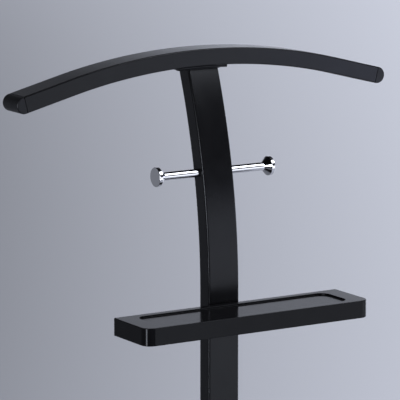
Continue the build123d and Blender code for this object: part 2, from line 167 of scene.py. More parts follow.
def grained_plastic(name, colour, roughness, grain, depth):
    """Moulded black plastic with a spark-eroded grain."""
    material, tree, shader = finish(name, IOR=1.40, Specular_Tint=COOL_GLOSS)
    lighter = [tone * PLASTIC_LIGHTER for tone in colour]
    vary_colour(tree, shader, object_noise(tree, scale=60.0), colour, lighter)
    patches = object_noise(tree, scale=120.0, detail=3.0)
    vary_gloss(tree, shader, patches, roughness - PLASTIC_GLOSS_RANGE, roughness + PLASTIC_GLOSS_RANGE)
    cells = add(
        tree,
        "ShaderNodeTexVoronoi",
        {"Vector": add(tree, "ShaderNodeTexCoord").outputs["Object"], "Scale": grain},
        feature="SMOOTH_F1",
    )
    emboss(tree, shader, cells.outputs["Distance"], depth)
    return material


def black_lacquer():
    """Glossy sprayed lacquer over board, with long soft waves."""
    material, tree, shader = finish(
        "black_lacquer", IOR=1.45, Specular_IOR_Level=0.134, Specular_Tint=COOL_GLOSS
    )
    patches = object_noise(tree, scale=30.0)
    vary_colour(tree, shader, patches, dark=(0.0036, 0.0036, 0.0042), light=(0.0055, 0.0055, 0.0062))
    vary_gloss(tree, shader, object_noise(tree, scale=70.0, detail=4.0), low=0.12, high=0.17)
    emboss(tree, shader, object_noise(tree, scale=260.0, detail=2.0), depth=0.000006)
    return material


# %% [markdown]
# ## Metals
# The pegs are chrome over a turned rod. Turning leaves rings round the axis, so the noise for them is
# read from the distance to that axis and the place along it, which no plain noise in space would give.
# The screws, studs and inserts are small, and changes of tone and gloss in patches are enough for them.

# %% Metals
METAL_GLOSS_RANGE = 0.06
METAL_GLOSS_FINER = 4
METAL_GRAIN_FINER = 12


def from_axis(tree, centre):
    """Distance from an axis along X through a point, and the place along it, for marks left by turning."""
    place = add(tree, "ShaderNodeTexCoord").outputs["Object"]
    middle = (0.0, centre.y, centre.z)
    shifted = add(tree, "ShaderNodeVectorMath", {0: place, 1: middle}, operation="SUBTRACT")
    parts = add(tree, "ShaderNodeSeparateXYZ", {0: shifted.outputs[0]})
    across = maths(tree, "POWER", parts.outputs["Y"], 2.0)
    up = maths(tree, "POWER", parts.outputs["Z"], 2.0)
    return maths(tree, "SQRT", maths(tree, "ADD", across, up)), parts.outputs["X"]


def polished_chrome(axis_point):
    """Bright chrome over a turned rod: faint rings from the lathe, and a trace of handling."""
    material, tree, shader = finish("polished_chrome", Metallic=1.0, Base_Color=(0.75, 0.755, 0.77, 1.0))
    radius, along = from_axis(tree, axis_point)
    rings = add(tree, "ShaderNodeCombineXYZ", {"X": along, "Y": radius}).outputs[0]
    vary_gloss(tree, shader, object_noise(tree, scale=140.0, detail=3.0), low=0.02, high=0.05)
    emboss(tree, shader, object_noise(tree, scale=2600.0, place=rings), depth=0.00000012)
    return material


def plain_metal(name, dark, light, roughness, scale):
    """Screw and fitting metal whose tone and gloss change in patches."""
    material, tree, shader = finish(name, Metallic=1.0)
    vary_colour(tree, shader, object_noise(tree, scale, detail=3.0), dark, light)
    patches = object_noise(tree, METAL_GLOSS_FINER * scale, detail=3.0)
    vary_gloss(tree, shader, patches, roughness - METAL_GLOSS_RANGE, roughness + METAL_GLOSS_RANGE)
    emboss(tree, shader, object_noise(tree, METAL_GRAIN_FINER * scale), depth=0.000003)
    return material


peg_low, peg_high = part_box("peg_right")
peg_axis = (peg_low + peg_high) / 2
finishes = {
    "powder_coat": powder_coat(),
    "cap_plastic": grained_plastic(
        "cap_plastic", colour=(0.004, 0.004, 0.0046), roughness=0.42, grain=1500.0, depth=0.000012
    ),
    "pad_plastic": grained_plastic(
        "pad_plastic", colour=(0.010, 0.010, 0.0105), roughness=0.55, grain=900.0, depth=0.00003
    ),
    "lacquer": black_lacquer(),
    "chrome": polished_chrome(peg_axis),
    "black_steel": plain_metal(
        "black_oxide", dark=(0.018, 0.018, 0.02), light=(0.035, 0.034, 0.034), roughness=0.36, scale=160.0
    ),
    "zinc_steel": plain_metal(
        "zinc_plate", dark=(0.50, 0.51, 0.54), light=(0.62, 0.61, 0.58), roughness=0.30, scale=120.0
    ),
    "brass": plain_metal(
        "turned_brass", dark=(0.55, 0.38, 0.14), light=(0.68, 0.49, 0.20), roughness=0.28, scale=150.0
    ),
}
for part in frame["record"]["subparts"]:
    frame["nodes"][part["node"]].material_slots[0].material = finishes[part["material_slot"]]
print("Finishes:", ", ".join(sorted(finishes)))

# %% [markdown]
# ## From a tree or a mesh to a piece
# A Geometry Nodes tree ends in Realize Instances and Set Material. Its result is then turned into a plain
# mesh, because instances and live modifiers are lost when the model leaves Blender. Wide flat faces
# beside small rounded edges shade best with weighted normals, so every piece gets those.

# %% Piece helpers
SHARP = math.radians(40)
WIDE_FACE_WEIGHT = 100
stage_collection = bpy.context.scene.collection


def plain_copy(carrier):
    """The evaluated mesh of an object, without its modifiers."""
    depsgraph = bpy.context.evaluated_depsgraph_get()
    return bpy.data.meshes.new_from_object(carrier.evaluated_get(depsgraph), depsgraph=depsgraph)


def piece_from(mesh, name, slot, nodes, body="stand"):
    """Make a mesh a piece that rides on a body, in place of some CAD nodes."""
    mesh.shade_smooth()
    mesh.set_sharp_from_angle(angle=SHARP)
    piece = bpy.data.objects.new(name, mesh)
    stage_collection.objects.link(piece)
    weighted = piece.modifiers.new("Wide faces first", "WEIGHTED_NORMAL")
    weighted.keep_sharp = True
    weighted.weight = WIDE_FACE_WEIGHT
    weighted_mesh = plain_copy(piece)
    piece.modifiers.remove(weighted)
    piece.data = weighted_mesh
    piece.data.name = name
    piece.data.materials.clear()
    piece.data.materials.append(finishes[slot])
    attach(piece, body)
    if nodes:
        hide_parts(*nodes)
    print(f"{name}: {len(piece.data.polygons)} faces")


def geometry_tree(name, numbers, counts=()):
    """Start a tree with named numbers and a material as inputs, and return it with their sockets."""
    tree = bpy.data.node_groups.new(name, "GeometryNodeTree")
    kinds = {"Geometry": "Geometry", **dict.fromkeys(numbers, "Float"), **dict.fromkeys(counts, "Int")}
    kinds["Material"] = "Material"
    for label, kind in kinds.items():
        tree.interface.new_socket(label, in_out="INPUT", socket_type="NodeSocket" + kind)
    tree.interface.new_socket("Geometry", in_out="OUTPUT", socket_type="NodeSocketGeometry")
    return tree, tree.nodes.new("NodeGroupInput").outputs


def end_tree(tree, geometry, material):
    """End a tree: realize its instances, set its material and hand the geometry out."""
    real = add(tree, "GeometryNodeRealizeInstances", {"Geometry": geometry})
    painted = add(tree, "GeometryNodeSetMaterial", {"Geometry": real.outputs[0], "Material": material})
    add(tree, "NodeGroupOutput", {0: painted.outputs[0]})
    print("Tree:", tree.name, "with", len(tree.nodes), "nodes")


def grow(tree, values, place=Matrix(), seed=None):
    """Run a tree on seed points with the given inputs, and return the result as a mesh in its place."""
    carrier = bpy.data.objects.new("carrier", seed or bpy.data.meshes.new("seed"))
    stage_collection.objects.link(carrier)
    modifier = carrier.modifiers.new("Grow", "NODES")
    modifier.node_group = tree
    for item in tree.interface.items_tree:
        if item.in_out == "INPUT" and item.name in values:
            modifier[item.identifier] = values[item.name]
    mesh = plain_copy(carrier)
    bpy.data.objects.remove(carrier)
    mesh.transform(place)
    return mesh


# %% [markdown]
# ## Bent tubes
# The bar, the post, the runners and the crossbar are all one thing: a rectangular tube with rounded
# corners that runs straight, bends at one radius and runs straight again. Each could be drawn as a curve
# by hand, but a tree can follow that rule for all of them. A point at a length s along the tube has
# turned by s / radius, held between two limits, and what is left of s runs straight.

# %% Tree for a bent tube
def rounded_rectangle(tree, width, height, corner, steps):
    """Rectangle with rounded corners, as a curve."""
    sides = add(tree, "GeometryNodeCurvePrimitiveQuadrilateral", {"Width": width, "Height": height})
    rounding = {"Curve": sides.outputs[0], "Count": steps, "Radius": corner}
    return add(tree, "GeometryNodeFilletCurve", rounding, mode="POLY").outputs[0]


def swept(tree, path, section, more):
    """Mesh of a section swept along a path."""
    curves = {"Curve": path, "Profile Curve": section, **more}
    return add(tree, "GeometryNodeCurveToMesh", curves).outputs[0]


def bent_tube_tree():
    """Sweep a rounded rectangle along a straight, bent and straight path. The bend's centre is the origin."""
    tree, given = geometry_tree(
        "Bent tube",
        ("Start", "End", "Bend radius", "Bend from", "Bend to", "Width", "Height", "Corner radius"),
        ("Rings", "Corner steps"),
    )
    line = add(tree, "GeometryNodeCurvePrimitiveLine")
    points = add(tree, "GeometryNodeResampleCurve", {"Curve": line.outputs[0], "Count": given["Rings"]})
    share = add(tree, "GeometryNodeSplineParameter").outputs["Factor"]
    span = maths(tree, "SUBTRACT", given["End"], given["Start"])
    length = maths(tree, "MULTIPLY_ADD", share, span, given["Start"])
    free_turn = maths(tree, "DIVIDE", length, given["Bend radius"])
    turn = maths(tree, "MINIMUM", maths(tree, "MAXIMUM", free_turn, given["Bend from"]), given["Bend to"])
    bent = maths(tree, "MULTIPLY", turn, given["Bend radius"])
    straight = maths(tree, "SUBTRACT", length, bent)
    sine = maths(tree, "SINE", turn)
    cosine = maths(tree, "COSINE", turn)
    along = maths(tree, "MULTIPLY_ADD", straight, cosine, maths(tree, "MULTIPLY", given["Bend radius"], sine))
    fall = maths(tree, "MULTIPLY", straight, sine)
    up = maths(tree, "SUBTRACT", maths(tree, "MULTIPLY", given["Bend radius"], cosine), fall)
    place = add(tree, "ShaderNodeCombineXYZ", {"X": along, "Z": up})
    path = add(tree, "GeometryNodeSetPosition", {"Geometry": points.outputs[0], "Position": place.outputs[0]})
    level = {"Curve": path.outputs[0], "Normal": (0.0, 1.0, 0.0)}
    steady = add(tree, "GeometryNodeSetCurveNormal", level, mode="FREE")
    section = rounded_rectangle(
        tree, given["Width"], given["Height"], given["Corner radius"], given["Corner steps"]
    )
    tube = swept(tree, steady.outputs[0], section, {"Fill Caps": True})
    end_tree(tree, tube, given["Material"])
    return tree


bent_tube = bent_tube_tree()

# %% [markdown]
# ## Tubes of each kind
# Most bent tubes of the stand are arches that slope by the same angle at both ends, and two pieces have
# no bend at all. Each kind gets a short function that fills the tree's inputs. For a straight tube the
# bend's two limits are both zero, so any radius will do, and the tube is lowered by it again.

# %% Tube helpers
RING_SPACING = 0.004
TUBE_CORNER_STEPS = 6
STRAIGHT_RADIUS = 1.0


def tube_mesh(width, height, corner, start, end, radius, bend_from, bend_to, place):
    """One bent tube, as a mesh. Where it has not turned yet it lies along X, one radius above the origin."""
    values = {
        "Start": start,
        "End": end,
        "Bend radius": radius,
        "Bend from": bend_from,
        "Bend to": bend_to,
        "Width": width,
        "Height": height,
        "Corner radius": corner,
        "Rings": round((end - start) / RING_SPACING) + 1,
        "Corner steps": TUBE_CORNER_STEPS,
        "Material": finishes["powder_coat"],
    }
    return grow(bent_tube, values, place)


def arch_mesh(width, height, corner, half, radius, slope, place):
    """A tube bent to an arch, from its half length and the slope of its ends."""
    return tube_mesh(width, height, corner, -half, half, radius, -slope, slope, place)


def straight_mesh(low, high, corner):
    """A straight tube along X in a box that lies evenly about the middle plane of the stand."""
    size = high - low
    lowered = Matrix.Translation((0.0, 0.0, (low.z + high.z) / 2 - STRAIGHT_RADIUS))
    return tube_mesh(size.y, size.z, corner, low.x, high.x, STRAIGHT_RADIUS, 0.0, 0.0, lowered)


def arch_slope(radius, straight, reach):
    """Slope of an arch's straight ends when they end at the given reach from the middle."""
    return math.asin(reach / math.hypot(radius, straight)) - math.atan2(straight, radius)


# %% [markdown]
# ## Hanger bar
# The bar is a flat tube, 34 by 19 mm, bent at 700 mm with straight ends that slope by about 14 degrees.
# The frame gives its reach and its place, and the bend's end follows from the reach, as it does on the
# bending bench.

# %% Hanger bar
BAR_HEIGHT = 0.019
BAR_BEND_RADIUS = 0.700
BAR_CORNER = 0.0015
BAR_END_STRAIGHT = 0.060
BAR_CAP_LIP = 0.002

bar_low, bar_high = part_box("hanger_bar")
bar_y = (bar_low.y + bar_high.y) / 2
cap_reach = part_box("hanger_cap_right")[1].x - BAR_HEIGHT / 2
bar_slope = arch_slope(BAR_BEND_RADIUS, BAR_END_STRAIGHT + BAR_CAP_LIP, cap_reach)
bar_half = BAR_BEND_RADIUS * bar_slope + BAR_END_STRAIGHT
bar_centre = Vector((0.0, bar_y, bar_high.z - BAR_HEIGHT / 2 - BAR_BEND_RADIUS))
bar_mesh = arch_mesh(
    bar_high.y - bar_low.y,
    BAR_HEIGHT,
    BAR_CORNER,
    bar_half,
    BAR_BEND_RADIUS,
    bar_slope,
    Matrix.Translation(bar_centre),
)
piece_from(bar_mesh, "hanger_tube", "powder_coat", ["hanger_bar"])
print("Bar ends slope by", round(math.degrees(bar_slope), 2), "degrees")

# %% [markdown]
# ## Post
# The post stands straight up to the tray and then leans back at one radius. The same tree makes it,
# turned on end: the tube's length runs up, and the bend's centre lies behind the stand. Its top is sawn
# level under the saddle plate, so the mesh is cut with a plane there and the cut is closed.

# %% Post
POST_BEND_RADIUS = 0.720
POST_CORNER = 0.0022
POST_DEPTH = 0.020
BEND_START_HEIGHT = 0.809
SAW_SPARE = 0.012
SAW_DEPTH = 0.0001

post_low, post_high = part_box("post")


def cut_level(mesh, height):
    """Cut off what lies above a height, and close the cut."""
    builder = bmesh.new()
    builder.from_mesh(mesh)
    everything = builder.verts[:] + builder.edges[:] + builder.faces[:]
    cut = bmesh.ops.bisect_plane(
        builder, geom=everything, plane_co=(0.0, 0.0, height), plane_no=(0.0, 0.0, 1.0), clear_outer=True
    )
    rim = [edge for edge in cut["geom_cut"] if isinstance(edge, bmesh.types.BMEdge)]
    bmesh.ops.contextual_create(builder, geom=rim)
    builder.to_mesh(mesh)
    builder.free()


post_turn = math.asin((post_high.z - BEND_START_HEIGHT) / POST_BEND_RADIUS)
upright = Matrix((
    (0, -1, 0, 0),
    (0, 0, -1, POST_BEND_RADIUS),
    (1, 0, 0, BEND_START_HEIGHT),
    (0, 0, 0, 1),
))
post_mesh = tube_mesh(
    post_high.x - post_low.x,
    POST_DEPTH,
    POST_CORNER,
    start=post_low.z - BEND_START_HEIGHT,
    end=POST_BEND_RADIUS * post_turn + SAW_SPARE,
    radius=POST_BEND_RADIUS,
    bend_from=0.0,
    bend_to=math.pi / 2,
    place=upright,
)
cut_level(post_mesh, post_high.z - SAW_DEPTH)
piece_from(post_mesh, "post_tube", "powder_coat", ["post"])

# %% [markdown]
# ## Base tubes
# Two runners arch from foot to foot and a crossbar joins them. The runners are the same arch again,
# turned by a quarter, and the crossbar is the straight tube.

# %% Runners and crossbar
RUNNER_HEIGHT = 0.018
RUNNER_BEND_RADIUS = 0.680
RUNNER_CORNER = 0.0015
RUNNER_END_STRAIGHT = 0.030
RUNNER_CAP_LIP = 0.024

runner_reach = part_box("runner_cap_rear_left")[1].y - RUNNER_HEIGHT / 2
runner_slope = arch_slope(RUNNER_BEND_RADIUS, RUNNER_END_STRAIGHT + RUNNER_CAP_LIP, runner_reach)
runner_half = RUNNER_BEND_RADIUS * runner_slope + RUNNER_END_STRAIGHT
for side in ("left", "right"):
    runner_low, runner_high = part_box(f"runner_{side}")
    runner_x = (runner_low.x + runner_high.x) / 2
    runner_z = runner_high.z - RUNNER_HEIGHT / 2 - RUNNER_BEND_RADIUS
    runner_mesh = arch_mesh(
        runner_high.x - runner_low.x,
        RUNNER_HEIGHT,
        RUNNER_CORNER,
        runner_half,
        RUNNER_BEND_RADIUS,
        runner_slope,
        Matrix.Translation((runner_x, 0.0, runner_z)) @ Matrix.Rotation(math.pi / 2, 4, "Z"),
    )
    piece_from(runner_mesh, f"runner_tube_{side}", "powder_coat", [f"runner_{side}"])

crossbar_mesh = straight_mesh(*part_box("crossbar"), RUNNER_CORNER)
piece_from(crossbar_mesh, "crossbar_tube", "powder_coat", ["crossbar"])

# %% [markdown]
# ## Lathe
# Pegs and pads are turned or moulded round an axis, and the tray and the caps are stacks of outlines. All
# of them can be written as rings of points that are joined in order, so two small builders make them: one
# for a stack of rings, and one that spins an outline into such a stack. Round stretches of an outline are
# worked out as arcs.

# %% Lathe
ARC_STEPS = 6
SAME_POINT = 0.000001


def arc(centre, radius, start, end, steps=ARC_STEPS):
    """Points of an arc in the plane of an outline, with angles in degrees from the axis."""
    angles = [math.radians(start + (end - start) * step / steps) for step in range(steps + 1)]
    return [(centre[0] + radius * math.cos(a), centre[1] + radius * math.sin(a)) for a in angles]


def join_rings(builder, ring, other):
    """Faces between two rings of points, where one of them may be a single point."""
    count = max(len(ring), len(other))
    for k in range(count):
        corners = [ring[k % len(ring)], ring[(k + 1) % len(ring)]]
        corners += [other[(k + 1) % len(other)], other[k % len(other)]]
        builder.faces.new(list(dict.fromkeys(corners)))


def stacked(*stacks):
    """Mesh of stacks of rings. The rings of a stack are joined in order, and its ends are closed."""
    builder = bmesh.new()
    for rings in stacks:
        loops = [[builder.verts.new(point) for point in ring] for ring in rings]
        for loop, other in zip(loops, loops[1:]):
            join_rings(builder, loop, other)
        for loop in (loops[0], loops[-1]):
            if len(loop) > 1:
                builder.faces.new(loop)
    bmesh.ops.recalc_face_normals(builder, faces=builder.faces)
    mesh = bpy.data.meshes.new("stacked")
    builder.to_mesh(mesh)
    builder.free()
    return mesh


def spun(outline, steps, place):
    """Mesh of an outline of (along, radius) points, spun round the Z axis and put in its place."""
    rings = []
    for along, radius in outline:
        count = steps if radius > SAME_POINT else 1
        angles = [2 * math.pi * k / count for k in range(count)]
        rings.append([(radius * math.cos(a), radius * math.sin(a), along) for a in angles])
    mesh = stacked(rings)
    mesh.transform(place)
    return mesh


# %% [markdown]
# ## Pegs
# A peg is turned from one rod: a straight shaft, a conical neck and a disc with a soft rim that keeps a
# loop from slipping off. Polished chrome shows every flat, so the outline is spun in many steps, and the
# small radii where the neck meets the shaft and the rim are real arcs.

# %% Pegs
PEG_ROD_RADIUS = 0.00475
PEG_RIM = 0.004
PEG_EDGE = 0.0006
PEG_FOOT_CHAMFER = 0.0003
PEG_NECK_ANGLE = 45
PEG_STEPS = 128
ROD_RINGS = (0.25, 0.5, 0.75)
FACE_RINGS = (0.7, 0.35)

peg_length = peg_high.x - peg_low.x
knob_radius = (peg_high.z - peg_low.z) / 2
rim_start = peg_length - PEG_RIM
neck_start = rim_start - (knob_radius - PEG_ROD_RADIUS) / math.tan(math.radians(PEG_NECK_ANGLE))
half_edge = PEG_EDGE * math.tan(math.radians(PEG_NECK_ANGLE / 2))
peg_outline = [(0.0, 0.0), (0.0, PEG_ROD_RADIUS - PEG_FOOT_CHAMFER), (PEG_FOOT_CHAMFER, PEG_ROD_RADIUS)]
peg_outline += [(share * neck_start, PEG_ROD_RADIUS) for share in ROD_RINGS]
peg_outline += arc((neck_start - half_edge, PEG_ROD_RADIUS + PEG_EDGE), PEG_EDGE, 270, 270 + PEG_NECK_ANGLE)
peg_outline += arc((rim_start + half_edge, knob_radius - PEG_EDGE), PEG_EDGE, 90 + PEG_NECK_ANGLE, 90)
peg_outline += arc((peg_length - PEG_EDGE, knob_radius - PEG_EDGE), PEG_EDGE, 90, 0)
peg_outline += [(peg_length, share * knob_radius) for share in FACE_RINGS]
peg_outline += [(peg_length, 0.0)]
for side, sign in (("right", 1), ("left", -1)):
    facing = Matrix.Rotation(sign * math.pi / 2, 4, "Y")
    place = Matrix.Translation((sign * peg_low.x, peg_axis.y, peg_axis.z)) @ facing
    piece_from(spun(peg_outline, PEG_STEPS, place), f"peg_turned_{side}", "chrome", [f"peg_{side}"])

# %% [markdown]
# ## Tray
# The tray is a lacquered board with soft front corners, nearly square back corners and a shallow recess.
# It is built as a stack of rings with the same number of points: up the outside, over the land, and down
# into the recess. Each ring is a rounded rectangle, and a small fillet is a few rings close together.

# %% Tray
TRAY_FRONT_CORNER = 0.012
TRAY_BACK_CORNER = 0.0015
TRAY_EDGE = 0.0008
RECESS_DEPTH = 0.0019
RECESS_CORNER = 0.012
RECESS_END_LAND = 0.022
RECESS_SIDE_LAND = 0.0095
RECESS_RIM = 0.0005
RECESS_FLOOR_ROUND = 0.0003
CORNER_STEPS = 16
FILLET_STEPS = 5

tray_low, tray_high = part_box("tray")


def rounded_outline(low, high, front_radius, back_radius):
    """Points of a rounded rectangle between two corners, the front corners first."""
    corners = (
        (low.x + front_radius, low.y + front_radius, front_radius, 180),
        (high.x - front_radius, low.y + front_radius, front_radius, 270),
        (high.x - back_radius, high.y - back_radius, back_radius, 0),
        (low.x + back_radius, high.y - back_radius, back_radius, 90),
    )
    return [
        point
        for x, y, radius, start in corners
        for point in arc((x, y), radius, start, start + 90, CORNER_STEPS)
    ]


def quarter():
    """Sine and one minus cosine over a quarter turn, for fillets."""
    turns = [math.pi / 2 * step / FILLET_STEPS for step in range(FILLET_STEPS + 1)]
    return [(math.sin(turn), 1 - math.cos(turn)) for turn in turns]


def tray_levels():
    """Rings of the tray from its underside to the floor of its recess, as (inset, height, in recess)."""
    bottom, top = tray_low.z, tray_high.z
    floor = top - RECESS_DEPTH
    levels = [(TRAY_EDGE * (1 - s), bottom + TRAY_EDGE * c, False) for s, c in quarter()]
    levels += [(TRAY_EDGE * c, top - TRAY_EDGE * (1 - s), False) for s, c in quarter()]
    levels += [(-RECESS_RIM * (1 - s), top - RECESS_RIM * c, True) for s, c in quarter()]
    levels += [(RECESS_FLOOR_ROUND * c, floor + RECESS_FLOOR_ROUND * (1 - s), True) for s, c in quarter()]
    return levels


def tray_ring(inset, in_recess):
    """Outline of one ring of the tray."""
    end_land = inset + (RECESS_END_LAND if in_recess else 0.0)
    side_land = inset + (RECESS_SIDE_LAND if in_recess else 0.0)
    shift = Vector((end_land, side_land, 0.0))
    front = RECESS_CORNER if in_recess else TRAY_FRONT_CORNER
    back = RECESS_CORNER if in_recess else TRAY_BACK_CORNER
    return rounded_outline(tray_low + shift, tray_high - shift, front - inset, back - inset)


tray_rings = [
    [(x, y, height) for x, y in tray_ring(inset, in_recess)]
    for inset, height, in_recess in tray_levels()
]
piece_from(stacked(tray_rings), "tray_board", "lacquer", ["tray"])

# %% [markdown]
# ## Caps of the bar
# Each end of the bar is closed by a moulded plastic cap that ends in half a cylinder. The narrow gap
# between the cap and the tube is what the eye reads as a joint, so it is modelled and not only drawn. A
# cap is a stack of D-shaped rings from its front face to its back face, and a smaller block is the neck
# that bridges the gap.

# %% Hanger caps
CAP_GAP = 0.0008
CAP_NECK_INSET = 0.0012
CAP_NECK_START = -0.0030
CAP_NECK_END = 0.0015
CAP_STEPS = 32

cap_half = (bar_high.y - bar_low.y) / 2
bar_end_x = BAR_BEND_RADIUS * math.sin(bar_slope) + BAR_END_STRAIGHT * math.cos(bar_slope)
bar_end_z = BAR_BEND_RADIUS * math.cos(bar_slope) - BAR_END_STRAIGHT * math.sin(bar_slope)
bar_end = bar_centre + Vector((bar_end_x, 0.0, bar_end_z))


def at_bar_end(outline, y, sign):
    """Put an outline of (along, up) points at an end of the bar, at a distance y from its middle plane."""
    outward = Vector((math.cos(bar_slope), 0.0, -math.sin(bar_slope)))
    upward = Vector((math.sin(bar_slope), 0.0, math.cos(bar_slope)))
    points = [bar_end + along * outward + up * upward + Vector((0.0, y, 0.0)) for along, up in outline]
    return [(sign * point.x, point.y, point.z) for point in points]


def cap_outline(inset):
    """D-shaped outline of a cap, inset by a distance on its round side."""
    half = BAR_HEIGHT / 2 - inset
    return [(CAP_GAP, -half), *arc((BAR_CAP_LIP, 0.0), half, -90, 90, CAP_STEPS), (CAP_GAP, half)]


cap_levels = [(BAR_CORNER * (1 - s), BAR_CORNER * c - cap_half) for s, c in quarter()]
cap_levels += [(BAR_CORNER * c, cap_half - BAR_CORNER * (1 - s)) for s, c in quarter()]
neck_half = BAR_HEIGHT / 2 - CAP_NECK_INSET
neck_outline = [(CAP_NECK_START, -neck_half), (CAP_NECK_END, -neck_half)]
neck_outline += [(CAP_NECK_END, neck_half), (CAP_NECK_START, neck_half)]
for side, sign in (("right", 1), ("left", -1)):
    shell = [at_bar_end(cap_outline(inset), y, sign) for inset, y in cap_levels]
    neck = [at_bar_end(neck_outline, y * (cap_half - CAP_NECK_INSET), sign) for y in (-1, 1)]
    piece_from(stacked(shell, neck), f"hanger_cap_moulded_{side}", "cap_plastic", [f"hanger_cap_{side}"])

# %% [markdown]
# ## Saddle and foot plate
# Two steel plates are welded to the post: a saddle under the bar, bent to it, and a foot plate on the
# crossbar. Both are strips with rounded edges, so the tube's tree makes them as well, one with the bar's
# bend and one flat.

# %% Plates
SADDLE_EDGE = 0.0019
FOOT_PLATE_EDGE = 0.0012

saddle_low, saddle_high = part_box("hanger_plate")
saddle_y = (saddle_low.y + saddle_high.y) / 2
saddle_thick = bar_high.z - BAR_HEIGHT - post_high.z
saddle_radius = BAR_BEND_RADIUS - BAR_HEIGHT / 2 - saddle_thick / 2
saddle_turn = math.asin(saddle_high.x / saddle_radius)
saddle_mesh = arch_mesh(
    saddle_high.y - saddle_low.y,
    saddle_thick,
    SADDLE_EDGE,
    saddle_radius * saddle_turn,
    saddle_radius,
    saddle_turn,
    Matrix.Translation((0.0, saddle_y, bar_centre.z)),
)
piece_from(saddle_mesh, "saddle_plate", "powder_coat", ["hanger_plate"])
plate_mesh = straight_mesh(*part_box("post_foot_plate"), FOOT_PLATE_EDGE)
piece_from(plate_mesh, "foot_plate", "powder_coat", ["post_foot_plate"])

# %% [markdown]
# ## Welds
# The plates are welded to the post all round. A weld is a row of small overlapping ripples, which would
# be slow to model one by one, so the tree sweeps a circle round the post's outline and lets its size rise
# and fall with the length along the path.

# %% Weld beads
WELD_RIPPLE = 0.0016
WELD_RIPPLE_SHARE = 0.10
WELD_RIPPLE_STEPS = 6.0
WELD_SIDES = 12
SADDLE_BEAD_RADIUS = 0.0009
FOOT_BEAD_RADIUS = 0.0016


def circle(tree, sides, radius):
    """Circle as a curve."""
    return add(tree, "GeometryNodeCurvePrimitiveCircle", {"Resolution": sides, "Radius": radius}).outputs[0]


def weld_tree():
    """Sweep a rippled bead round a rounded rectangle."""
    tree, given = geometry_tree(
        "Weld bead", ("Width", "Depth", "Corner radius", "Bead radius", "Ripple", "Ripple share")
    )
    path = rounded_rectangle(tree, given["Width"], given["Depth"], given["Corner radius"], TUBE_CORNER_STEPS)
    step = maths(tree, "DIVIDE", given["Ripple"], WELD_RIPPLE_STEPS)
    even = add(tree, "GeometryNodeResampleCurve", {"Curve": path, "Length": step}, mode="LENGTH")
    along = add(tree, "GeometryNodeSplineParameter").outputs["Length"]
    ripples = maths(tree, "DIVIDE", along, given["Ripple"])
    wave = maths(tree, "SINE", maths(tree, "MULTIPLY", ripples, math.tau))
    swell = maths(tree, "MULTIPLY_ADD", wave, given["Ripple share"], 1.0)
    section = circle(tree, WELD_SIDES, given["Bead radius"])
    bead = swept(tree, even.outputs[0], section, {"Scale": swell})
    end_tree(tree, bead, given["Material"])
    return tree


weld = weld_tree()
top_depth = POST_DEPTH / math.cos(post_turn)
beads = {
    "saddle_weld": (top_depth, SADDLE_BEAD_RADIUS, Vector((0.0, saddle_y, post_high.z))),
    "foot_weld": (POST_DEPTH, FOOT_BEAD_RADIUS, Vector((0.0, post_low.y + POST_DEPTH / 2, post_low.z))),
}
for name, (depth, bead_radius, place) in beads.items():
    values = {
        "Width": post_high.x - post_low.x,
        "Depth": depth,
        "Corner radius": POST_CORNER,
        "Bead radius": bead_radius,
        "Ripple": WELD_RIPPLE,
        "Ripple share": WELD_RIPPLE_SHARE,
        "Material": finishes["powder_coat"],
    }
    piece_from(grow(weld, values, Matrix.Translation(place)), name, "powder_coat", [])

# %% [markdown]
# ## One screw for all
# The stand is bolted together with button-head screws: a low dome with a hexagon socket. One tree makes
# such a screw and sets it on every point that it is given, turned to an axis stored on the point. The
# dome is a cylinder whose top sinks towards the rim, and the socket is cut out of it with a six-sided
# key.

# %% Tree for a screw
HEAD_SIDES = 48
HEAD_RINGS = 6
KEY_SIDES = 6
KEY_RAISE = 0.9
SHANK_SIDES = 24


def cylinder(tree, sides, radius, length):
    """Upright cylinder with its middle at the origin."""
    size = {"Vertices": sides, "Radius": radius, "Depth": length}
    return add(tree, "GeometryNodeMeshCylinder", size).outputs[0]


def both(tree, first, second):
    """Two geometries joined."""
    whole = add(tree, "GeometryNodeJoinGeometry", {"Geometry": first})
    tree.links.new(second, whole.inputs["Geometry"])
    return whole.outputs[0]


def moved_up(tree, geometry, length, share):
    """Geometry moved up by a share of a length."""
    rise = add(tree, "ShaderNodeCombineXYZ", {"Z": maths(tree, "MULTIPLY", length, share)}).outputs[0]
    return add(tree, "GeometryNodeTransform", {"Geometry": geometry, "Translation": rise}).outputs[0]


